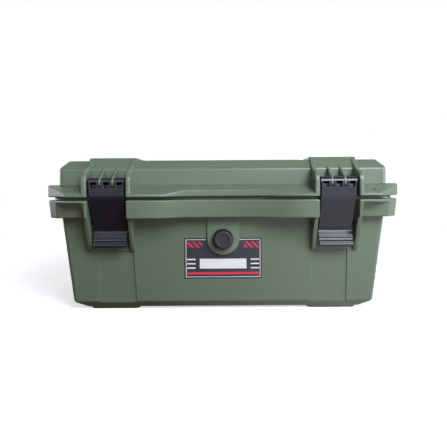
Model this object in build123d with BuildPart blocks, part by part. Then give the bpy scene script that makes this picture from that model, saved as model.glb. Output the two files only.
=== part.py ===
"""Moulded case with a hinged lid, two hook latches, a folding carrying handle and a pressure valve.

Millimetres, +Z up. The origin is at the bottom centre, the front faces -Y and +X is to the right.
A depth is measured backwards from the front plane, which the latch ribs touch.
"""

import os
from math import acos, atan2, cos, degrees, hypot, radians, sin, tan

from build123d import *

# Overall size
case_w = 280.0  # across the side flanges
case_d = 240.0  # front plane to the back of the hinge knuckles
case_h = 125.0  # floor to the top of the stacking pads

# Thicknesses and clearances
wall = 3.0
skirt = 2.6  # skirt and web of the base flange
running = 0.05  # radial clearance of a turning pin
seated = 0.01  # radial clearance of a pin pressed home
open_gap = 0.4  # between mouldings that pass each other
past = 1.0  # overrun of a cut past the face it opens
sunk = 9.0  # how far ribs and the valve's boss start inside the wall, before it is hollowed

# Heights
foot_h = 2.0
floor_t = 3.0
bottom_chamfer = 5.4
inner_rise = 1.6  # top of the inner bottom chamfer above the outer one
base_h = 91.2  # top of the base flange
flange_h = 14.2
flange_lip = 2.4  # lip that overhangs the corner pockets
seam = 2.4  # open gap between the two flanges
rim_h = 9.6  # side height of the lid flange
rim_front_h = 2.3  # front height of the lid flange, which slopes up to its full height
lid_bevel = 7.2
pad_h = 2.3
pad_back = 0.6  # top of a pad behind the top of the bevel

# Plan
draft = 6.0  # lean of the base's walls and flange, in degrees
front_shelf = 21.0  # front plane to the lid's front wall
side_shelf = 8.0
rear_shelf = 7.4
base_inset = 0.4  # how far the top of the base flange stands inside the lid flange
wall_r = 4.0  # upright corners of the base and the lid, outside
inner_r = 1.5  # and inside
step_back = 9.0  # set-back of the middle of both flanges
step_in_x = 30.5
step_out_x = 45.0
corner_cut = 19.5
rear_cut = 12.0
side_chamfer = 12.0  # width of the bottom chamfer on the left and right
foot_w = 42.0
foot_l = 26.0
foot_r = 5.0
foot_draft = 30.0

# Latch bays, one each side of the middle
bay_in = 50.25  # side of the flange to the middle of a bay
bay_w = 30.5
bay_depth = 12.5
rib_t = 3.5
rib_foot_depth = 18.0
rib_foot_drop = 36.2  # below the top of the base flange
rib_end_drop = 42.2
channel_out = 10.95  # from the middle of the bay towards the side
channel_top_in = 16.75  # towards the middle of the case
channel_low_in = 19.25
channel_deep = 1.0
pocket_deep = 10.8  # behind the padlock's shackle
pad_slope = 6.0

# Latches, which hang from the lid
pivot_depth = 6.3
pivot_up = 11.4  # above the underside of the lid flange
knuckle_r = 4.0
pin_r = 1.5
inner_rib_x = 5.0  # from the middle of the bay
inner_rib_t = 1.8
inner_rib_gap = 0.35
fin_up = 3.3  # tip of the inner ribs above the lower edge of the bevel
fin_in = 0.2  # how far the tip runs on inside the lid
rib_crest_back = 4.6  # crest of the outer ribs, behind and above the pivot
rib_crest_up = 9.2
rib_proud = 3.0  # above the lower edge of the bevel
latch_side_gap = 1.35
slot_gap = 1.2  # round the lid's inner ribs, for the open latch
latch_t = 2.6
latch_taper = 0.7  # lost from each side by the tip
knee_depth = 3.4
knee_up = 1.3  # above the top of the base flange
knee_r = 10.0
bend_depth = 19.0
bend_drop = 8.0  # below the rail
bend_r = 2.0
tip_depth = 13.2
tip_drop = 18.3
bead_r = 1.6
scoop_r = 2.6
scoop_deep = 0.8
scoop_place = 0.66  # share of the way from the bend to the tip
window = 4.2
window_drop = 1.9
rail_h = 17.2
hook_reach = 2.6
hook_play = 0.4

# Seal
seal_side = 6.4  # side of the flange to the middle of the tongue
seal_front = 17.5
seal_rear = 3.7
seal_r = 10.0
land_w = 5.6
tongue_w = 2.4
tongue_h = 1.4
groove_w = 3.2
seal_h = 3.0

# Hinges, in line with the latches
hinge_r = 5.6
hinge_up = 0.8  # above the top of the base flange
hinge_pin_r = 2.0
ear_w = 8.0
ear_tilt = 45.0
arm_tilt = 30.0
pin_end = 0.5  # pin ends below the rib's side

# Padlock holes through both flanges
padlock_in = 23.0  # side of the flange to the middle of a hole
padlock_depth = 8.0
padlock_r = 2.25

# Carrying handle, folded into a well in the lid
well_side = 10.0  # side of the well to the stacking pads
well_front = 56.0
well_back = 9.0
well_deep = 18.0
well_r = 6.0
handle_gap = 1.0
handle_drop = 0.7  # top of the folded handle below the lid
handle_r = 5.0  # half its thickness, and the radius of its pivot ends
handle_arm = 9.0
handle_reach = 43.0
grip_w = 14.0
handle_corner = 12.0
handle_edge = 1.6
handle_pin_r = 2.0
handle_pin_len = 12.0
pin_boss_deep = 6.0

# Pressure valve
valve_drop = 32.2  # below the top of the base flange
boss_r = 13.0
boss_proud = 0.7  # where it meets the flange
valve_hole_r = 5.0
inner_boss_r = 9.5
inner_boss_h = 1.2
valve_head_r = 7.2
valve_head_t = 1.8
valve_seal_t = 1.0
knob_r = 8.4
knob_t = 6.6
knob_ring_r = 6.6
knob_dish_r = 4.5
knob_dish_deep = 1.0
knob_bevel = 2.0
stem_r = 2.0
nut_flats = 15.0
nut_t = 3.5
thread_end = 2.0

# Label
label_w = 62.8
label_h = 33.5
label_over = 0.6  # top edge above the middle of the valve
label_t = 0.3
label_clear = 0.8

# Places worked out from the sizes
lean = tan(radians(draft))
front = -case_d / 2
half_w = case_w / 2
hinge_y = case_d / 2 - hinge_r
hinge_z = base_h + hinge_up
rear = hinge_y - hinge_r - open_gap  # back of both flanges
flange_low = base_h - flange_h
chamfer_z = foot_h + bottom_chamfer
inner_chamfer_z = chamfer_z + inner_rise
floor_z = foot_h + floor_t
lid_low = base_h + seam
shoulder = lid_low + rim_h
lid_top = case_h - pad_h
bevel_z = lid_top - lid_bevel
inner_bevel_z = bevel_z - wall * tan(radians(45 / 2))  # keeps the wall even round the bevel's edge
block_w = case_w - 2 * side_shelf
bay_x = half_w - bay_in
padlock_x = half_w - padlock_in
pocket_x = half_w - corner_cut + pocket_deep  # where the pocket runs out at the cut corner
block_front = front + front_shelf
block_rear = rear - rear_shelf
block_l = block_rear - block_front
block_mid = (block_front + block_rear) / 2
seal_w = case_w - 2 * seal_side
seal_l = rear - seal_rear - front - seal_front
seal_mid = (front + seal_front + rear - seal_rear) / 2
pivot_z = lid_low + pivot_up
knee_z = base_h + knee_up
rail_low = base_h - rail_h
bend_z = rail_low - bend_drop
tip_z = rail_low - tip_drop
rib_out = bay_w / 2 + rib_t  # middle of a bay to the far side of its ribs
latch_w = bay_w - 2 * latch_side_gap
rib_back = front_shelf + sunk
well_w = 2 * (bay_x - rib_out - well_side)
valve_z = base_h - valve_drop
boss_y = block_front + flange_h * lean - boss_proud
handle_z = lid_top - handle_drop - handle_r
well_floor = lid_top - well_deep
arm_out = well_w / 2 - handle_gap
handle_pin_in = arm_out - handle_arm + handle_gap
flange_slope = (rim_h - rim_front_h) / front_shelf

os.makedirs("parts", exist_ok=True)


def save(part, name):
    """Labels a finished piece and writes it to its own file."""
    part.label = name
    export_step(part, f"parts/{name}.step")


def y_at(depth):
    """Y of a depth behind the front plane."""
    return front + depth


def wall_y(z):
    """Y of the outside of the base's front wall at height z."""
    return block_front + (base_h - z) * lean


def shelf_z(depth):
    """Height of the sloping top of the lid's front flange."""
    return lid_low + rim_front_h + flange_slope * depth


def outline(points, plane=Plane.XY):
    """Closed straight-sided outline."""
    with BuildSketch(plane) as sketch:
        with BuildLine():
            Polyline(*points, close=True)
        make_face()
    return sketch.sketch


def side_view(points, x):
    """Closed outline in the side view at x, through points of (depth, height)."""
    return outline([(y_at(depth), z) for depth, z in points], Plane.YZ.offset(x))


def disc(radius, y, z, x):
    """Circle in the side view at x."""
    with BuildSketch(Plane.YZ.offset(x)) as sketch:
        with Locations((y, z)):
            Circle(radius)
    return sketch.sketch


def rounded(width, length, radius, z, middle=0.0):
    """Rounded rectangle at height z, with its centre at Y = middle."""
    with BuildSketch(Plane.XY.offset(z)) as sketch:
        with Locations((0, middle)):
            RectangleRounded(width, length, radius)
    return sketch.sketch


def bevel_edges(z, end_z, inset, side_run, run):
    """Bevels the block in hand, whose walls are moved in by inset at height z, inwards to end_z."""
    beyond = 1 + past / abs(end_z - z)
    over_z = z + beyond * (end_z - z)
    half_x, half_y = block_w / 2 - inset, block_l / 2 - inset
    for side in (-1, 1):
        at_side = [
            (side * half_x, z),
            (side * (half_x - beyond * side_run), over_z),
            (side * block_w, over_z),
            (side * block_w, z),
        ]
        extrude(outline(at_side, Plane.XZ), amount=case_d, both=True, mode=Mode.SUBTRACT)
        at_end = [
            (block_mid + side * half_y, z),
            (block_mid + side * (half_y - beyond * run), over_z),
            (block_mid + side * block_l, over_z),
            (block_mid + side * block_l, z),
        ]
        extrude(outline(at_end, Plane.YZ), amount=case_w, both=True, mode=Mode.SUBTRACT)


def tub(inset, low, turn_z, radius):
    """Block within the base's leaning walls, moved in by inset, chamfered from turn_z down to low."""
    lean_run = (base_h - low) * lean
    with BuildPart() as block:
        with BuildSketch(Plane.XY.offset(low)):
            with Locations((0, block_mid)):
                Rectangle(block_w - 2 * inset, block_l - 2 * inset)
        extrude(amount=base_h - low)
        bevel_edges(base_h, low, inset, lean_run, lean_run)
        fillet(block.edges().group_by(Axis.Z)[1], radius)
        bevel_edges(turn_z, low, inset + (base_h - turn_z) * lean, side_chamfer, bottom_chamfer)
    return block.part


def lid_block(inset, bevel_low, top, radius):
    """Block within the lid's walls, moved in by inset, bevelled at 45 degrees from bevel_low to the top."""
    with BuildPart() as block:
        outer = rounded(block_w - 2 * inset, block_l - 2 * inset, radius, lid_low, block_mid)
        extrude(outer, amount=top - lid_low)
        bevel_edges(bevel_low, top, inset, top - bevel_low, top - bevel_low)
    return block.part


def seal_ring(z, ring_w):
    """Ring that follows the seal all round, ring_w wide."""
    with BuildSketch(Plane.XY.offset(z)) as sketch:
        with Locations((0, seal_mid)):
            RectangleRounded(seal_w + ring_w, seal_l + ring_w, seal_r + ring_w / 2)
            RectangleRounded(
                seal_w - ring_w, seal_l - ring_w, seal_r - ring_w / 2, mode=Mode.SUBTRACT
            )
    return sketch.sketch


def flange_outline(z, inset=0.0, pockets=False):
    """Outline of the flanges, with the pockets beside the latches if asked, moved in by inset."""
    right = [
        (step_in_x, y_at(step_back)),
        (step_out_x, front),
        (half_w - corner_cut, front),
        (half_w, y_at(corner_cut)),
        (half_w, rear - rear_cut),
        (half_w - rear_cut, rear),
    ]
    left = [(-x, y) for x, y in reversed(right)]
    with BuildSketch(Plane.XY.offset(z)) as sketch:
        add(outline(right + left))
        if pockets:
            for side in (-1, 1):
                pocket = [
                    (side * (bay_x + rib_out), front - past),
                    (side * (bay_x + rib_out), y_at(pocket_deep)),
                    (side * pocket_x, y_at(pocket_deep)),
                    (side * pocket_x, front - past),
                ]
                add(outline(pocket), mode=Mode.SUBTRACT)
        if inset:
            offset(amount=-inset, kind=Kind.INTERSECTION)
    return sketch.sketch


def on_wall(z):
    """Distance up the leaning front wall of height z, from the wall plane's origin."""
    return z / cos(radians(draft))


def wall_plane(inset=0.0):
    """Plane on the outside of the base's front wall, moved in by inset, facing out."""
    outwards = (0, -cos(radians(draft)), -sin(radians(draft)))
    return Plane((0, wall_y(0), 0), x_dir=(1, 0, 0), z_dir=outwards).offset(-inset)


def on_circle(radius, angle, y, z):
    """Point at an angle in degrees on a circle in the side view."""
    return (y + radius * cos(radians(angle)), z + radius * sin(radians(angle)))


def tangent_angle(depth, z, radius, to_depth, to_z):
    """Angle on a circle where the upper tangent from the point (to_depth, to_z) touches it."""
    across, up = to_depth - depth, to_z - z
    return degrees(atan2(up, across) + acos(radius / hypot(across, up)))


# The latch's long part leans at one slope, and the base's rail runs parallel behind it
latch_slope = (bend_depth - knee_depth) / (knee_z - bend_z)
level = hypot(1, latch_slope)  # level distance for each millimetre square to the slope


def latch_depth(z, behind=0.0):
    """Depth at height z of a line that lies behind the latch's face, square to it."""
    return knee_depth + (knee_z - z) * latch_slope + behind * level


rail_behind = latch_t + open_gap
rail_back = latch_depth(rail_low, rail_behind) + hook_reach
hook_z = rail_low - hook_play
hook_end = rail_back - open_gap

# Solid blocks within the walls, and the hollows in them
tub_body = tub(0, foot_h, chamfer_z, wall_r)
tub_hollow = tub(wall, floor_z, inner_chamfer_z, inner_r)
lid_body = lid_block(0, bevel_z, lid_top, wall_r)
lid_hollow = lid_block(wall, inner_bevel_z, lid_top - wall, inner_r)

# Base: tub, hollow flange, latch rails and ribs, hinge ears
with BuildPart() as base_shell:
    extrude(flange_outline(base_h, base_inset), amount=-flange_lip, taper=draft)
    extrude(flange_outline(base_h, base_inset, pockets=True), amount=-flange_h, taper=draft)
    hollow = flange_outline(base_h - skirt, base_inset + skirt, pockets=True)
    extrude(hollow, amount=skirt - flange_h, taper=draft, mode=Mode.SUBTRACT)
    for side in (-1, 1):
        bay_left = side * bay_x - bay_w / 2
        in_front = [
            (-past, base_h + past),
            (latch_depth(base_h + past, rail_behind), base_h + past),
            (latch_depth(flange_low - past, rail_behind), flange_low - past),
            (-past, flange_low - past),
        ]
        extrude(side_view(in_front, bay_left), amount=bay_w, mode=Mode.SUBTRACT)
        rail = [
            (latch_depth(base_h, rail_behind), base_h),
            (latch_depth(rail_low, rail_behind), rail_low),
            (rail_back, rail_low),
            (latch_depth(base_h, rail_behind) + hook_reach, base_h),
        ]
        extrude(side_view(rail, bay_left), amount=bay_w)
        rib = [
            (base_inset, base_h),
            (base_inset, base_h - flange_lip),
            (rib_foot_depth, base_h - rib_foot_drop),
            (rib_foot_depth + rib_end_drop - rib_foot_drop, base_h - rib_end_drop),
            (rib_back, base_h - rib_end_drop),
            (rib_back, base_h),
        ]
        for rib_left in (bay_left - rib_t, bay_left + bay_w):
            extrude(side_view(rib, rib_left), amount=rib_t)
    add(tub_body)
    with BuildSketch(Plane.XZ.offset(-boss_y)):
        with Locations((0, valve_z)):
            Circle(boss_r)
        with Locations((0, (valve_z + base_h - skirt) / 2)):
            Rectangle(2 * boss_r, base_h - skirt - valve_z)
    extrude(amount=-sunk)
    add(tub_hollow, mode=Mode.SUBTRACT)
    inner_face_y = wall_y(valve_z) + wall / cos(radians(draft)) + inner_boss_h
    with BuildSketch(Plane.XZ.offset(-inner_face_y)):
        with Locations((0, valve_z)):
            Circle(inner_boss_r)
    extrude(amount=inner_face_y - boss_y - boss_proud - wall / 2)
    with BuildSketch(Plane.XZ.offset(-inner_face_y - past)):
        with Locations((0, valve_z)):
            Circle(valve_hole_r)
    extrude(amount=inner_face_y - boss_y + 2 * wall, mode=Mode.SUBTRACT)
    extrude(seal_ring(base_h, land_w), amount=seam)
    extrude(seal_ring(base_h, tongue_w), amount=seam + tongue_h)
    for side in (-1, 1):
        channel = [
            (side * (bay_x - channel_top_in), on_wall(base_h - rib_end_drop)),
            (side * (bay_x + channel_out), on_wall(base_h - rib_end_drop)),
            (side * (bay_x + channel_out), on_wall(foot_h)),
            (side * (bay_x - channel_low_in), on_wall(foot_h)),
        ]
        extrude(outline(channel, wall_plane(channel_deep)), amount=2 * channel_deep, mode=Mode.SUBTRACT)
        front_foot_y = wall_y(foot_h) + bottom_chamfer + foot_l / 2
        for foot_y in (front_foot_y, 2 * block_mid - front_foot_y):
            with BuildSketch(Plane.XY.offset(foot_h)):
                with Locations((side * bay_x, foot_y)):
                    RectangleRounded(foot_w, foot_l, foot_r)
            extrude(amount=-foot_h, taper=foot_draft)
        hinge_left = side * bay_x - rib_out
        ear_touch = on_circle(hinge_r, -ear_tilt, hinge_y, hinge_z)
        ear = [
            (rear - past, base_h),
            (hinge_y, base_h),
            ear_touch,
            (rear - past, ear_touch[1] - (ear_touch[0] - rear + past) * tan(radians(ear_tilt))),
        ]
        for ear_left in (hinge_left, hinge_left + 2 * rib_out - ear_w):
            extrude(outline(ear, Plane.YZ.offset(ear_left)), amount=ear_w)
            extrude(disc(hinge_r, hinge_y, hinge_z, ear_left), amount=ear_w)
        pin_hole = disc(hinge_pin_r + seated, hinge_y, hinge_z, hinge_left)
        extrude(pin_hole, amount=2 * rib_out, mode=Mode.SUBTRACT)
        with BuildSketch(Plane.XY.offset(flange_low)):
            with Locations((side * padlock_x, y_at(padlock_depth))):
                Circle(padlock_r)
        extrude(amount=flange_h, mode=Mode.SUBTRACT)

# Lid: sloping flange, bevelled block, stacking pads, latch ribs, hinge arms and handle well
with BuildPart() as lid_shell:
    extrude(flange_outline(lid_low), amount=rim_h)
    above_slope = [
        (-past, shelf_z(-past)),
        (front_shelf, shoulder),
        (front_shelf, shoulder + past),
        (-past, shoulder + past),
    ]
    extrude(side_view(above_slope, -half_w), amount=case_w, mode=Mode.SUBTRACT)
    for side in (-1, 1):
        bay_left = side * bay_x - bay_w / 2
        bay = [(-past, lid_low), (bay_depth, lid_low), (bay_depth, shoulder), (-past, shoulder)]
        extrude(side_view(bay, bay_left), amount=bay_w, mode=Mode.SUBTRACT)
    add(lid_body)
    for side in (-1, 1):
        pad_left = side * bay_x - rib_out
        pad_run = lid_bevel + pad_back
        pad = [
            (block_front, bevel_z),
            (block_front + pad_run, case_h),
            (block_rear - pad_run, case_h),
            (block_rear, bevel_z),
        ]
        extrude(outline(pad, Plane.YZ.offset(pad_left)), amount=2 * rib_out)
        inner = side * (bay_x - rib_out)
        ramp = [(inner, lid_top), (inner - side * pad_slope, lid_top), (inner, case_h)]
        extrude(outline(ramp, Plane.XZ.offset(-block_rear + lid_bevel)), amount=block_l - 2 * lid_bevel)
        crest = (y_at(pivot_depth + rib_crest_back), pivot_z + rib_crest_up)
        with BuildSketch(Plane.YZ.offset(pad_left)) as rib_view:
            with BuildLine():
                Line((front, lid_low), (front, pivot_z))
                TangentArc((front, pivot_z), crest, tangent=(0, 1))
                Polyline(
                    crest,
                    (block_front, bevel_z + rib_proud),
                    (block_front + pad_run, case_h),
                    (y_at(rib_back), case_h),
                    (y_at(rib_back), lid_low),
                    (front, lid_low),
                )
            make_face()
        extrude(amount=rib_t)
        extrude(rib_view.sketch.moved(Location((bay_w + rib_t, 0, 0))), amount=rib_t)
        top = (front_shelf + fin_up * pad_run / (case_h - bevel_z) + fin_in, bevel_z + fin_up)
        touch = tangent_angle(pivot_depth, pivot_z, knuckle_r, *top)
        touch_y, touch_z = on_circle(knuckle_r, touch, y_at(pivot_depth), pivot_z)
        inner_rib = [
            (touch_y, touch_z),
            (y_at(top[0]), top[1]),
            (y_at(top[0]), lid_low + wall),
            (y_at(bay_depth), lid_low + wall),
            (y_at(pivot_depth), pivot_z - knuckle_r),
            (y_at(pivot_depth), pivot_z),
        ]
        for place in (-inner_rib_x, inner_rib_x):
            rib_left = side * bay_x + place - inner_rib_t / 2
            extrude(outline(inner_rib, Plane.YZ.offset(rib_left)), amount=inner_rib_t)
            extrude(disc(knuckle_r, y_at(pivot_depth), pivot_z, rib_left), amount=inner_rib_t)
        pin_hole = disc(pin_r + seated, y_at(pivot_depth), pivot_z, pad_left)
        extrude(pin_hole, amount=2 * rib_out, mode=Mode.SUBTRACT)
        arm_left = side * bay_x - rib_out + ear_w + open_gap
        arm_w = 2 * (rib_out - ear_w - open_gap)
        arm_touch = on_circle(hinge_r, 90 - arm_tilt, hinge_y, hinge_z)
        arm = [
            (rear - past, lid_low),
            (hinge_y, lid_low),
            arm_touch,
            (rear - past, arm_touch[1] + (arm_touch[0] - rear + past) * tan(radians(arm_tilt))),
        ]
        extrude(outline(arm, Plane.YZ.offset(arm_left)), amount=arm_w)
        extrude(disc(hinge_r, hinge_y, hinge_z, arm_left), amount=arm_w)
        arm_hole = disc(hinge_pin_r + running, hinge_y, hinge_z, arm_left)
        extrude(arm_hole, amount=arm_w, mode=Mode.SUBTRACT)
        with BuildSketch(Plane.XY.offset(lid_low)):
            with Locations((side * padlock_x, y_at(padlock_depth))):
                Circle(padlock_r)
        extrude(amount=rim_h, mode=Mode.SUBTRACT)
    add(lid_hollow, mode=Mode.SUBTRACT)
    extrude(seal_ring(lid_low, groove_w), amount=tongue_h + seal_h, mode=Mode.SUBTRACT)
    well_mid = (well_back - well_front) / 2
    well_l = well_front + well_back
    extrude(
        rounded(well_w + 2 * wall, well_l + 2 * wall, well_r + wall, well_floor - wall, well_mid),
        amount=well_deep + wall,
    )
    for side in (-1, 1):
        boss_left = side * (well_w / 2 + pin_boss_deep / 2) - pin_boss_deep / 2
        extrude(disc(handle_r, 0, handle_z, boss_left), amount=pin_boss_deep)
    extrude(rounded(well_w, well_l, well_r, well_floor, well_mid), amount=well_deep, mode=Mode.SUBTRACT)
    pin_reach = handle_pin_in + handle_pin_len + seated
    for pin_left in (-pin_reach, well_w / 2 - past):
        pin_hole = disc(handle_pin_r + seated, 0, handle_z, pin_left)
        extrude(pin_hole, amount=pin_reach - well_w / 2 + past, mode=Mode.SUBTRACT)

# Seal in the lid's groove, above the base's tongue
with BuildPart() as lid_seal:
    extrude(seal_ring(lid_low + tongue_h, groove_w), amount=seal_h)

save(base_shell.part, "base_shell")
save(lid_shell.part, "lid_shell")
save(lid_seal.part, "lid_seal")

# Latches: windowed knuckles, a bowed plate, a hook under the rail and a lip to pull
for side, name in ((-1, "left"), (1, "right")):
    middle = side * bay_x
    latch_left = middle - latch_w / 2
    slot_w = inner_rib_t + 2 * inner_rib_gap
    with BuildPart() as latch:
        with BuildSketch(Plane.YZ.offset(latch_left)):
            with BuildLine():
                FilletPolyline(
                    (y_at(pivot_depth - knuckle_r), pivot_z),
                    (y_at(knee_depth), knee_z),
                    (y_at(bend_depth), bend_z),
                    (y_at(tip_depth), tip_z),
                    radius=[knee_r, bend_r],
                )
                offset(amount=latch_t, side=Side.LEFT)
            make_face()
        extrude(amount=latch_w)
        lip_run = hypot(bend_depth - tip_depth, bend_z - tip_z)
        along = ((tip_depth - bend_depth) / lip_run, (tip_z - bend_z) / lip_run)
        bead = (tip_depth - along[1] * latch_t / 2, tip_z + along[0] * latch_t / 2)
        extrude(disc(bead_r, y_at(bead[0]), bead[1], latch_left), amount=latch_w)
        clear = scoop_r - scoop_deep
        scoop = (
            bend_depth + along[0] * lip_run * scoop_place + along[1] * clear,
            bend_z + along[1] * lip_run * scoop_place - along[0] * clear,
        )
        extrude(disc(scoop_r, y_at(scoop[0]), scoop[1], latch_left), amount=latch_w, mode=Mode.SUBTRACT)
        hook = [
            (latch_depth(hook_z, latch_t / 2), hook_z),
            (hook_end, hook_z),
            (hook_end, bend_z + latch_t),
            (latch_depth(bend_z + latch_t, latch_t / 2), bend_z + latch_t),
        ]
        extrude(side_view(hook, latch_left), amount=latch_w)
        extrude(disc(knuckle_r, y_at(pivot_depth), pivot_z, latch_left), amount=latch_w)
        for place in (-inner_rib_x, inner_rib_x):
            slot = disc(knuckle_r + slot_gap, y_at(pivot_depth), pivot_z, middle + place - slot_w / 2)
            extrude(slot, amount=slot_w, mode=Mode.SUBTRACT)
        knuckle_x = (inner_rib_x + slot_w / 2 + latch_w / 2) / 2
        with BuildSketch(Plane.XZ.offset(-front)):
            with Locations([(middle + x, pivot_z - window_drop) for x in (-knuckle_x, 0, knuckle_x)]):
                Rectangle(window, window)
        extrude(amount=-pivot_depth, mode=Mode.SUBTRACT)
        bore = disc(pin_r + running, y_at(pivot_depth), pivot_z, latch_left)
        extrude(bore, amount=latch_w, mode=Mode.SUBTRACT)
        top_z, low_z = pivot_z + knuckle_r + past, tip_z - 2 * bead_r
        tapered = [
            (middle - latch_w / 2, top_z),
            (middle + latch_w / 2, top_z),
            (middle + latch_w / 2 - latch_taper, low_z),
            (middle - latch_w / 2 + latch_taper, low_z),
        ]
        extrude(outline(tapered, Plane.XZ.offset(-front)), amount=-rib_back, mode=Mode.INTERSECT)
    save(latch.part, f"latch_{name}")

    with BuildPart() as latch_pin:
        pin_x = middle - rib_out + pin_end
        extrude(disc(pin_r, y_at(pivot_depth), pivot_z, pin_x), amount=2 * (rib_out - pin_end))
    save(latch_pin.part, f"latch_pin_{name}")

    with BuildPart() as hinge_pin:
        pin_x = middle - rib_out + pin_end
        extrude(disc(hinge_pin_r, hinge_y, hinge_z, pin_x), amount=2 * (rib_out - pin_end))
    save(hinge_pin.part, f"hinge_pin_{name}")

    with BuildPart() as handle_pin:
        pin_x = handle_pin_in if side > 0 else -handle_pin_in - handle_pin_len
        extrude(disc(handle_pin_r, 0, handle_z, pin_x), amount=handle_pin_len)
    save(handle_pin.part, f"handle_pin_{name}")

# Carrying handle: a bail whose ends turn on two short pins
with BuildPart() as carry_handle:
    with BuildSketch(Plane.XY.offset(handle_z - handle_r)):
        with BuildLine():
            Polyline(
                (-arm_out, 0),
                (-arm_out, -handle_reach),
                (arm_out, -handle_reach),
                (arm_out, 0),
                (arm_out - handle_arm, 0),
                (arm_out - handle_arm, grip_w - handle_reach),
                (handle_arm - arm_out, grip_w - handle_reach),
                (handle_arm - arm_out, 0),
                close=True,
            )
        make_face()
    extrude(amount=2 * handle_r)
    corners = carry_handle.edges().filter_by(Axis.Z).group_by(Axis.Y)
    fillet(corners[0], handle_corner)
    fillet(carry_handle.edges().filter_by(Axis.Z).group_by(Axis.Y)[-2], handle_corner / 2)
    rims = carry_handle.faces().filter_by(Axis.Z).edges()
    chamfer(rims.filter_by(lambda edge: edge.center().Y < -handle_edge), handle_edge)
    for end_left in (-arm_out, arm_out - handle_arm):
        extrude(disc(handle_r, 0, handle_z, end_left), amount=handle_arm)
    for hole_left in (-arm_out, handle_pin_in - handle_gap):
        hole = disc(handle_pin_r + running, 0, handle_z, hole_left)
        extrude(hole, amount=handle_arm, mode=Mode.SUBTRACT)
save(carry_handle.part, "carry_handle")


def turned(points):
    """Half section of a turned piece on the valve's axis: points are (distance out of the boss, radius)."""
    return outline([(boss_y - out, valve_z + radius) for out, radius in points], Plane.YZ)


valve_axis = Axis((0, 0, valve_z), (0, 1, 0))
through = boss_y - inner_face_y  # negative: the valve's hole runs inwards
thread_low = through - nut_t - thread_end
head_low = valve_seal_t
head_top = valve_seal_t + valve_head_t

with BuildPart() as valve_body:
    revolve(
        turned(
            [
                (thread_low, stem_r + running),
                (thread_low, valve_hole_r - running),
                (head_low, valve_hole_r - running),
                (head_low, valve_head_r),
                (head_top, valve_head_r),
                (head_top, stem_r + running),
            ]
        ),
        axis=valve_axis,
    )
save(valve_body.part, "valve_body")

with BuildPart() as valve_seal:
    revolve(
        turned(
            [
                (0, valve_hole_r),
                (0, valve_head_r),
                (head_low, valve_head_r),
                (head_low, valve_hole_r),
            ]
        ),
        axis=valve_axis,
    )
save(valve_seal.part, "valve_seal")

with BuildPart() as valve_nut:
    with BuildSketch(Plane.XZ.offset(-inner_face_y - nut_t)):
        with Locations((0, valve_z)):
            RegularPolygon(nut_flats / 2, 6, major_radius=False)
            Circle(valve_hole_r, mode=Mode.SUBTRACT)
    extrude(amount=nut_t)
save(valve_nut.part, "valve_nut")

with BuildPart() as valve_knob:
    skirt_low = open_gap
    dish = knob_t - knob_dish_deep
    revolve(
        turned(
            [
                (thread_low + thread_end, 0),
                (thread_low + thread_end, stem_r),
                (head_top + open_gap, stem_r),
                (head_top + open_gap, valve_head_r + open_gap),
                (skirt_low, valve_head_r + open_gap),
                (skirt_low, knob_r),
                (knob_t - knob_bevel, knob_r),
                (knob_t, knob_ring_r),
                (knob_t, knob_dish_r),
                (dish, knob_dish_r),
                (dish, 0),
            ]
        ),
        axis=valve_axis,
    )
save(valve_knob.part, "valve_knob")

# Label, stuck on the leaning front wall and cut round the valve's boss
with BuildPart() as front_label:
    label_high = on_wall(valve_z + label_over)
    with BuildSketch(wall_plane()):
        with Locations((0, label_high - label_h / 2)):
            Rectangle(label_w, label_h)
        with Locations((0, on_wall(valve_z))):
            Circle(boss_r + label_clear, mode=Mode.SUBTRACT)
    extrude(amount=label_t)
save(front_label.part, "front_label")
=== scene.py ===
"""Looks of the moulded case with hook latches: its finishes, rounded mould edges, label print and studio."""

from math import atan, cos, pi, radians, sin

import bmesh
import bpy
from mathutils import Matrix, Vector


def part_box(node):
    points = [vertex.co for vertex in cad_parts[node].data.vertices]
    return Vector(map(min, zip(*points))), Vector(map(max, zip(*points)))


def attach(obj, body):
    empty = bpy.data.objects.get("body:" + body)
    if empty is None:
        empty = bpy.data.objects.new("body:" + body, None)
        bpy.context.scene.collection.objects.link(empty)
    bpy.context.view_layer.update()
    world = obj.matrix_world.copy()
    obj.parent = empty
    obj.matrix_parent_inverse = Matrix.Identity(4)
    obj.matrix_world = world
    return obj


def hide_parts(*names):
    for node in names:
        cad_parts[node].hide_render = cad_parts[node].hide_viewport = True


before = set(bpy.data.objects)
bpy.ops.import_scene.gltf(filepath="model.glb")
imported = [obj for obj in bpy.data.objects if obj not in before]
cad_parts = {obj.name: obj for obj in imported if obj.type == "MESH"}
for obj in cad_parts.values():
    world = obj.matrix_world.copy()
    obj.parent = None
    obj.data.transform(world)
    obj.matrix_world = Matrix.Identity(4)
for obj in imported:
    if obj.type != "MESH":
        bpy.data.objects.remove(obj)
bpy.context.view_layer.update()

MM = 0.001

# Photograph: image side, focal length, eye level, middle and roll, in its own pixels
photo_side = 447
focal_px = 523.6
eye_level_px = 180.0
middle_px = 222.6
roll_slope = 0.0063  # the right side stands higher by this share
sensor = 36.0
camera_back = 520 * MM  # in front of the case's middle
camera_up = 106.5 * MM

# Edge radii of the mouldings: shells, latches and handle, knob
shell_edge = 1.0 * MM
black_edge = 0.45 * MM
small_edge = 0.3 * MM

# Rounding
rounding_strips = 3
sharp_angle = 32.0  # an edge turning more than this many degrees is rounded
strip_angle = 50.0  # degrees, more than a rounding turns between its strips
flat_angle = 0.5  # degrees: two faces that turn less are one
merged_gap = 0.001 * MM  # points nearer than this are one
ground = 0.01 * MM  # an edge no higher than this is on the sole of a foot
rim_chord = 1.0 * MM  # shorter edges of a face round a hole are the hole's
room_share = 0.42  # of a face's width that a rounding may take
least_edge = 0.06 * MM  # narrower roundings are left out
straight_on = -0.8  # cosine past which the next edge carries the same rounding on

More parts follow.
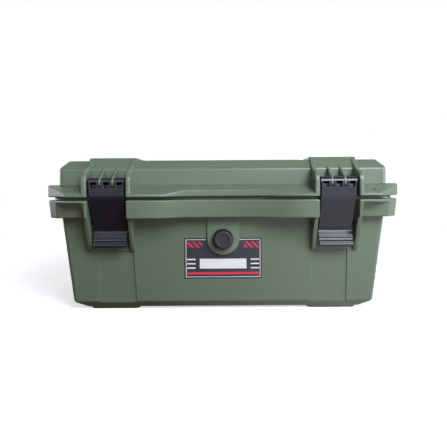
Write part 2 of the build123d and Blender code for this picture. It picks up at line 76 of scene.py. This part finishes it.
# Studio, in metres: floor and room with their levels, and lamps by place, size, power in watts and colour
floor_code, floor_lift = "7A583E", 0.6
floor_half = 3.0
# Painted reflection: reflections see the floor whiter and glowing towards the right, on the key lamp's side
glow_start, glow_end, glow_most = -0.06, 0.10, 0.75  # from left to right, how white reflections see the floor
sweep_start, sweep_end = 0.35, 0.7  # from the middle out, where the floor goes over into the backdrop
room_code, room_level = "E4EDFF", 0.05
wall_top, ceiling_start, ceiling_level = 0.55, 0.9, 0.3  # heights of a direction of length one, and a level
lamp_aim = 80 * MM  # height on the case that every lamp points at
softboxes = (
    ("key_right", (0.34, -0.76, 0.56), 0.45, 9.4, "F4F8FF"),
    ("key_left", (-0.40, -0.80, 0.66), 0.35, 0.8, "EAF1FF"),
    ("front_card", (0.27, -0.85, 0.11), 0.2, 0.4, "E2ECFF"),
    ("side_right", (1.00, -0.40, 0.26), 0.5, 7.6, "E2ECFF"),
    ("side_left", (-1.05, 0.45, 0.20), 0.5, 3.6, "EEF3FF"),
    ("back_middle", (0.20, 1.20, 0.30), 0.6, 7.0, "F4F8FF"),
)

# Plastics: refraction, and the gloss of the skin that a polished mould leaves
plastic_ior = 1.49
skin_rough = 0.2

# Label print, in millimetres across from the middle and up from the lower edge
wall_lean = radians(6.0)
keyline_in, keyline_w = 1.1, 0.45
panel_half, panel_low, panel_high = 19.0, 8.2, 16.4
rule_half, rule_low, rule_high = 29.4, 3.3, 5.3
hatch_in, hatch_out, hatch_low, hatch_high = 17.0, 29.4, 25.6, 30.4
hatch_pitch = 3.4
bar_in, bar_out, bar_t = 22.4, 29.4, 1.1
bar_lows = (8.2, 11.75, 15.3)


def linear(code):
    """Scene colour of an sRGB hex code such as 5E6E5C."""
    parts = [int(code[i:i + 2], 16) / 255 for i in (0, 2, 4)]
    return [p / 12.92 if p <= 0.04045 else ((p + 0.055) / 1.055) ** 2.4 for p in parts] + [1.0]


def add(tree, kind, inputs=(), **settings):
    """Adds a node: settings are its own, inputs pair a socket with a value or another node's socket."""
    made = tree.nodes.new(kind)
    for name, value in settings.items():
        setattr(made, name, value)
    for name, value in inputs:
        if isinstance(value, bpy.types.NodeSocket):
            tree.links.new(value, made.inputs[name])
        else:
            made.inputs[name].default_value = value
    return made


def blank(name):
    """New material with an empty node tree and its output."""
    material = bpy.data.materials.new(name)
    material.use_nodes = True
    material.node_tree.nodes.clear()
    return material, material.node_tree


def grain(tree, size_mm, detail=2.0):
    """Noise on Object coordinates whose spots are about size_mm across."""
    place = add(tree, "ShaderNodeTexCoord")
    return add(
        tree,
        "ShaderNodeTexNoise",
        [("Vector", place.outputs["Object"]), ("Scale", 1000 / size_mm), ("Detail", detail)],
    )


def between(tree, factor, low, high):
    """Value that runs from low to high as the factor runs from 0.3 to 0.7."""
    return add(
        tree,
        "ShaderNodeMapRange",
        [("Value", factor), ("From Min", 0.3), ("From Max", 0.7), ("To Min", low), ("To Max", high)],
    ).outputs["Result"]


def moulded_plastic(name, code, other, rough, grain_mm, depth_mm, skin=0.0, cloud_mm=45.0):
    """Moulded plastic: two near shades in soft clouds, the mould's eroded grain and a smooth skin."""
    material, tree = blank(name)
    clouds = grain(tree, cloud_mm, 3.0)
    fine = grain(tree, grain_mm)
    shade = add(
        tree,
        "ShaderNodeMix",
        [
            ("Factor", between(tree, clouds.outputs["Fac"], 0.0, 1.0)),
            ("A", linear(code)),
            ("B", linear(other)),
        ],
        data_type="RGBA",
    )
    relief = add(
        tree,
        "ShaderNodeBump",
        [("Height", fine.outputs["Fac"]), ("Strength", 0.6), ("Distance", depth_mm * MM)],
    )
    surface = add(
        tree,
        "ShaderNodeBsdfPrincipled",
        [
            ("Base Color", shade.outputs["Result"]),
            ("Roughness", between(tree, clouds.outputs["Fac"], rough - 0.03, rough + 0.03)),
            ("IOR", plastic_ior),
            ("Coat Weight", skin),
            ("Coat Roughness", skin_rough),
            ("Normal", relief.outputs["Normal"]),
        ],
    )
    add(tree, "ShaderNodeOutputMaterial", [("Surface", surface.outputs["BSDF"])])
    return material


def pin_steel(name, code, rough):
    """Drawn steel rod with fine lines along its length, bright or nearly black."""
    material, tree = blank(name)
    place = add(tree, "ShaderNodeTexCoord")
    along = add(
        tree, "ShaderNodeMapping", [("Vector", place.outputs["Object"]), ("Scale", (60.0, 4000.0, 4000.0))]
    )
    lines = add(tree, "ShaderNodeTexNoise", [("Vector", along.outputs["Vector"]), ("Scale", 1.0)])
    relief = add(
        tree,
        "ShaderNodeBump",
        [("Height", lines.outputs["Fac"]), ("Strength", 0.3), ("Distance", 0.02 * MM)],
    )
    surface = add(
        tree,
        "ShaderNodeBsdfPrincipled",
        [
            ("Base Color", linear(code)),
            ("Metallic", 1.0),
            ("Roughness", between(tree, lines.outputs["Fac"], rough - 0.07, rough + 0.07)),
            ("Normal", relief.outputs["Normal"]),
        ],
    )
    add(tree, "ShaderNodeOutputMaterial", [("Surface", surface.outputs["BSDF"])])
    return material


def print_film(name, code, rough=0.34):
    """Printed and laminated label film: an even colour with a faint orange-peel gloss."""
    material, tree = blank(name)
    peel = grain(tree, 1.6)
    relief = add(
        tree,
        "ShaderNodeBump",
        [("Height", peel.outputs["Fac"]), ("Strength", 0.15), ("Distance", 0.03 * MM)],
    )
    surface = add(
        tree,
        "ShaderNodeBsdfPrincipled",
        [
            ("Base Color", linear(code)),
            ("Roughness", rough),
            ("IOR", plastic_ior),
            ("Normal", relief.outputs["Normal"]),
        ],
    )
    add(tree, "ShaderNodeOutputMaterial", [("Surface", surface.outputs["BSDF"])])
    return material


# Polypropylene from a spark-textured mould: an even army green with a dull grain under a faint sheen
green = moulded_plastic("spark_textured_polypropylene_green", "5F6F5B", "5B6B57", 0.42, 0.9, 0.05, 0.25)
# Nylon from a polished mould: blue-black with a satin shine, and ABS a little greyer
black = moulded_plastic("satin_nylon_black", "1A1D2B", "181B27", 0.23, 0.7, 0.02)
knob_black = moulded_plastic("satin_abs_black", "202227", "24262B", 0.27, 0.6, 0.02)
# Moulded rubber: flat black without shine
rubber = moulded_plastic("moulded_epdm_rubber", "1B1B1B", "202020", 0.72, 0.5, 0.04)
# Drawn rod: streaks of light along the pin, pale on the hinges and nearly black in the latches
steel = pin_steel("drawn_steel", "B4B4B0", 0.35)
# Latch pins: nearly black, as dark as they look inside the latch windows
dark_steel = pin_steel("nearly_black_steel", "17181A", 0.5)
# Printed film under a clear laminate: flat colours with a soft even gloss
slate_print = print_film("laminated_film_slate", "31343E")
white_print = print_film("laminated_film_white", "E6E7EA")
red_print = print_film("laminated_film_red", "D8394C")


def turns_sharply(edge, degrees=sharp_angle):
    """An edge whose two faces stand at more than so many degrees."""
    return len(edge.link_faces) == 2 and edge.calc_face_angle() > radians(degrees)


def tidy_copy(node):
    """Merged copy of a CAD node's mesh, with its flat faces whole again and its sharp edges marked."""
    shape = bmesh.new()
    shape.from_mesh(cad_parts[node].data)
    bmesh.ops.remove_doubles(shape, verts=shape.verts, dist=merged_gap)
    bmesh.ops.dissolve_limit(shape, angle_limit=radians(flat_angle), verts=shape.verts, edges=shape.edges)
    for face in shape.faces:
        face.smooth = True
    for edge in shape.edges:
        edge.smooth = not turns_sharply(edge)
    return shape


def room_at(edge, vert):
    """Width that a rounding of this edge has at one end, from the other edges of its faces there."""
    along = (edge.other_vert(vert).co - vert.co).normalized()
    widths = [1.0]
    for face in edge.link_faces:
        for other in vert.link_edges:
            if other is edge or face not in other.link_faces:
                continue
            away = other.other_vert(vert).co - vert.co
            goes_on = away.normalized().dot(along) < straight_on
            if not goes_on:
                widths.append(away.cross(along).length)
    return min(widths)


def ring_faces(shape):
    """Flat faces round a hole, which the mesh can hold only with a slit from the hole to the rim."""
    paired = [edge for edge in shape.edges if len(edge.link_faces) == 2]
    return {face for edge in paired if not turns_sharply(edge, flat_angle) for face in edge.link_faces}


def soften(shape, radius):
    """Marks each sharp outer edge, but for soles and small holes, with the share of the radius that fits."""
    weights = shape.edges.layers.float.new("bevel_weight_edge")
    chord = rim_chord if radius > small_edge else 0.0  # the knob's rims are short edges and are rounded
    rims = {edge for face in ring_faces(shape) for edge in face.edges if edge.calc_length() < chord}
    for edge in shape.edges:
        off_ground = any(vert.co.z > ground for vert in edge.verts)
        if not edge.smooth and edge.is_convex and off_ground and edge not in rims:
            fitting = room_share * min(room_at(edge, vert) for vert in edge.verts)
            if fitting > least_edge:
                edge[weights] = min(1.0, fitting / radius)
                edge.smooth = True


def rounded(shape, radius):
    """The shape with its marked edges rounded, each by its own share of the radius, inside its old box."""
    corners = list(zip(*[vert.co for vert in shape.verts]))
    low, high = [min(c) for c in corners], [max(c) for c in corners]
    soften(shape, radius)
    bmesh.ops.triangulate(shape, faces=list(ring_faces(shape)))
    mesh = bpy.data.meshes.new("before_rounding")
    shape.to_mesh(mesh)
    shape.free()
    if "custom_normal" in mesh.attributes:
        mesh.attributes.remove(mesh.attributes["custom_normal"])
    holder = bpy.data.objects.new("before_rounding", mesh)
    bpy.context.scene.collection.objects.link(holder)
    rounding = holder.modifiers.new("moulded_edges", "BEVEL")
    rounding.limit_method = "WEIGHT"
    rounding.offset_type = "OFFSET"
    rounding.width = radius
    rounding.segments = rounding_strips
    rounding.use_clamp_overlap = False
    made = bpy.data.meshes.new_from_object(holder.evaluated_get(bpy.context.evaluated_depsgraph_get()))
    bpy.data.objects.remove(holder)
    shape = bmesh.new()
    shape.from_mesh(made)
    for vert in shape.verts:
        vert.co = [min(max(place, least), most) for place, least, most in zip(vert.co, low, high)]
    shape.normal_update()
    for edge in shape.edges:
        edge.smooth = edge.smooth and not turns_sharply(edge, strip_angle)
    return shape


def finished(shape, name, body, slot, materials, *nodes):
    """Turns a shape into a smooth-shaded piece that rides on a body and stands for its CAD nodes."""
    mesh = bpy.data.meshes.new(name)
    shape.to_mesh(mesh)
    shape.free()
    if "custom_normal" in mesh.attributes:
        mesh.attributes.remove(mesh.attributes["custom_normal"])
    for material in materials:
        mesh.materials.append(material)
    piece = bpy.data.objects.new(name, mesh)
    bpy.context.scene.collection.objects.link(piece)
    flat = piece.modifiers.new("flat_faces_stay_flat", "WEIGHTED_NORMAL")
    flat.keep_sharp = True
    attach(piece, body)
    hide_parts(*nodes)
    return piece


def soft_edged(node, body, slot, material, radius):
    """The CAD node again with rounded outer edges."""
    return finished(rounded(tidy_copy(node), radius), node + "_rounded", body, slot, [material], node)


soft_edged("base_shell", "base", "case_plastic", green, shell_edge)
soft_edged("lid_shell", "lid", "case_plastic", green, shell_edge)
soft_edged("carry_handle", "handle", "black_plastic", black, black_edge)
for side in ("left", "right"):
    soft_edged(f"latch_{side}", f"latch_{side}", "black_plastic", black, black_edge)
soft_edged("valve_knob", "valve_knob", "black_plastic", knob_black, small_edge)

for node, material in {
    "lid_seal": rubber,
    "valve_seal": rubber,
    "valve_body": knob_black,
    "valve_nut": knob_black,
    "latch_pin_left": dark_steel,
    "latch_pin_right": dark_steel,
    "hinge_pin_left": steel,
    "hinge_pin_right": steel,
    "handle_pin_left": steel,
    "handle_pin_right": steel,
}.items():
    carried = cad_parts[node]
    carried.data.materials.clear()
    carried.data.materials.append(material)


def patches(half, height):
    """The label's print as patches: across and up in millimetres on the right half, material and hatching."""
    edge, line = keyline_in, keyline_in + keyline_w
    marks = [
        (0, half - edge, edge, line, 1, False),
        (0, half - edge, height - line, height - edge, 1, False),
        (half - line, half - edge, edge, height - edge, 1, False),
        (0, panel_half, panel_low, panel_high, 1, False),
        (0, rule_half, rule_low, rule_high, 2, False),
        (hatch_in, hatch_out, hatch_low, hatch_high, 2, True),
    ]
    return marks + [(bar_in, bar_out, low, low + bar_t, 1, False) for low in bar_lows]


def printed_label():
    """Label cut along the lines of its print: keyline, blank panel, rule, bars and hatching."""
    shape = tidy_copy("front_label")
    low, high = [Vector(corner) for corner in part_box("front_label")]
    across, up = Vector((1, 0, 0)), Vector((0, -sin(wall_lean), cos(wall_lean)))
    corner = Vector((0, high.y, low.z))
    half, height = high.x / MM, (high.z - low.z) / cos(wall_lean) / MM
    slant = (across + up).normalized()

    def cut(normal, distance):
        geometry = shape.verts[:] + shape.edges[:] + shape.faces[:]
        point = corner + normal * distance * MM
        bmesh.ops.bisect_plane(shape, geom=geometry, dist=0.0001 * MM, plane_co=point, plane_no=normal)

    for u_in, u_out, v_low, v_high, _, _ in patches(half, height):
        for place in (u_in, u_out, -u_in, -u_out):
            cut(across, place)
        for place in (v_low, v_high):
            cut(up, place)
    stripes = hatch_pitch / 2
    for step in range(int(-half / stripes), int(2 * half / stripes)):
        cut(slant, step * stripes)

    for face in shape.faces:
        place = (face.calc_center_median() - corner) / MM
        u, v = abs(place.x), place.dot(up)
        striped = place.dot(slant) % hatch_pitch < stripes
        for u_in, u_out, v_low, v_high, colour, hatched in patches(half, height):
            inside = u_in < u < u_out and v_low < v < v_high
            if inside and face.normal.y < -0.5 and (striped or not hatched):
                face.material_index = colour
    films = [slate_print, white_print, red_print]
    finished(shape, "front_label_print", "base", "label_film", films, "front_label")


printed_label()


def ray_kinds(tree):
    """Marks of a ray: that it is to see white, comes from the eye, or comes off a gloss or through glass."""
    path = add(tree, "ShaderNodeLightPath")
    either = add(
        tree,
        "ShaderNodeMath",
        [(0, path.outputs["Is Glossy Ray"]), (1, path.outputs["Is Transmission Ray"])],
        operation="MAXIMUM",
    )
    seen = add(
        tree,
        "ShaderNodeMath",
        [(0, either.outputs[0]), (1, path.outputs["Is Camera Ray"])],
        operation="MAXIMUM",
    )
    return seen.outputs[0], path.outputs["Is Camera Ray"], either.outputs[0]


def mixed(tree, factor, low, high):
    """Shader that runs from one to the other with the factor."""
    mix = add(tree, "ShaderNodeMixShader", [(0, factor), (1, low), (2, high)])
    return mix.outputs["Shader"]


def sweep_floor():
    """Floor that the eye sees white apart from the case's shadow, and that gives the case a warm light;
    reflections see it whiter towards the right, a painted reflection of the lamp side.
    """
    material, tree = blank("white_sweep")
    seen, by_camera, mirrored = ray_kinds(tree)
    warm = add(tree, "ShaderNodeBsdfDiffuse", [("Color", linear(floor_code))]).outputs["BSDF"]
    white = add(tree, "ShaderNodeBsdfDiffuse", [("Color", linear("F8F8F8"))]).outputs["BSDF"]
    lift = add(tree, "ShaderNodeEmission", [("Strength", floor_lift)]).outputs["Emission"]
    lifted = add(tree, "ShaderNodeAddShader", [(0, white), (1, lift)]).outputs["Shader"]
    backdrop = add(tree, "ShaderNodeEmission", [("Strength", 1.0)]).outputs["Emission"]
    place = add(tree, "ShaderNodeTexCoord")
    away = add(tree, "ShaderNodeVectorMath", [(0, place.outputs["Object"])], operation="LENGTH")
    share = add(
        tree,
        "ShaderNodeMapRange",
        [("Value", away.outputs["Value"]), ("From Min", sweep_start), ("From Max", sweep_end)],
        interpolation_type="SMOOTHSTEP",
    )
    # Painted reflection: towards the right, reflections see the floor as lifted white with a glow, whatever
    # light falls there
    across = add(tree, "ShaderNodeSeparateXYZ", [(0, place.outputs["Object"])])
    painted_lit_side = add(
        tree,
        "ShaderNodeMapRange",
        [
            ("Value", across.outputs["X"]),
            ("From Min", glow_start),
            ("From Max", glow_end),
            ("To Max", glow_most),
        ],
    )
    painted_glow = add(tree, "ShaderNodeMath", [(0, mirrored), (1, painted_lit_side.outputs["Result"])], operation="MULTIPLY")
    shows = add(tree, "ShaderNodeMath", [(0, by_camera), (1, painted_glow.outputs[0])], operation="MAXIMUM")
    near = mixed(tree, shows.outputs[0], warm, lifted)
    far = mixed(tree, seen, warm, backdrop)
    surface = mixed(tree, share.outputs["Result"], near, far)
    add(tree, "ShaderNodeOutputMaterial", [("Surface", surface)])
    shape = bmesh.new()
    bmesh.ops.create_grid(shape, x_segments=1, y_segments=1, size=floor_half)
    mesh = bpy.data.meshes.new("floor")
    shape.to_mesh(mesh)
    shape.free()
    mesh.materials.append(material)
    floor = bpy.data.objects.new("floor", mesh)
    bpy.context.scene.collection.objects.link(floor)


def surroundings():
    """White backdrop to the eye and to reflections, with a dim ceiling, and a dim room as a light."""
    world = bpy.data.worlds.new("surroundings")
    bpy.context.scene.world = world
    world.use_nodes = True
    tree = world.node_tree
    tree.nodes.clear()
    seen = ray_kinds(tree)[0]
    way = add(tree, "ShaderNodeTexCoord")
    up = add(tree, "ShaderNodeSeparateXYZ", [(0, way.outputs["Generated"])])
    level = add(
        tree,
        "ShaderNodeMapRange",
        [
            ("Value", up.outputs["Z"]),
            ("From Min", wall_top),
            ("From Max", ceiling_start),
            ("To Min", 1.0),
            ("To Max", ceiling_level),
        ],
    )
    white = add(
        tree, "ShaderNodeBackground", [("Color", linear("FFFFFF")), ("Strength", level.outputs["Result"])]
    )
    dim = add(tree, "ShaderNodeBackground", [("Color", linear(room_code)), ("Strength", room_level)])
    surface = mixed(tree, seen, dim.outputs["Background"], white.outputs["Background"])
    add(tree, "ShaderNodeOutputWorld", [("Surface", surface)])


def studio():
    """Floor, surroundings and soft lamps."""
    sweep_floor()
    surroundings()
    for name, place, size, power, code in softboxes:
        lamp = bpy.data.lights.new(name, "AREA")
        lamp.shape = "SQUARE"
        lamp.size = size
        lamp.energy = power
        lamp.color = linear(code)[:3]
        holder = bpy.data.objects.new(name, lamp)
        bpy.context.scene.collection.objects.link(holder)
        holder.location = place
        aim = Vector((0, 0, lamp_aim)) - Vector(place)
        holder.rotation_euler = aim.to_track_quat("-Z", "Y").to_euler()


def eye():
    """Camera at the photograph's place: level, with its eye line raised by a shift, and slightly rolled."""
    lens = bpy.data.cameras.new("eye")
    lens.sensor_width = sensor
    lens.lens = focal_px / photo_side * sensor
    lens.shift_x = (photo_side / 2 - middle_px) / photo_side
    lens.shift_y = (eye_level_px - photo_side / 2) / photo_side
    lens.clip_start = 0.01
    holder = bpy.data.objects.new("eye", lens)
    bpy.context.scene.collection.objects.link(holder)
    place = Matrix.Translation((0, -camera_back, camera_up))
    holder.matrix_world = place @ Matrix.Rotation(pi / 2, 4, "X") @ Matrix.Rotation(-atan(roll_slope), 4, "Z")
    bpy.context.scene.camera = holder


studio()
eye()
bpy.context.scene.view_settings.view_transform = "Standard"
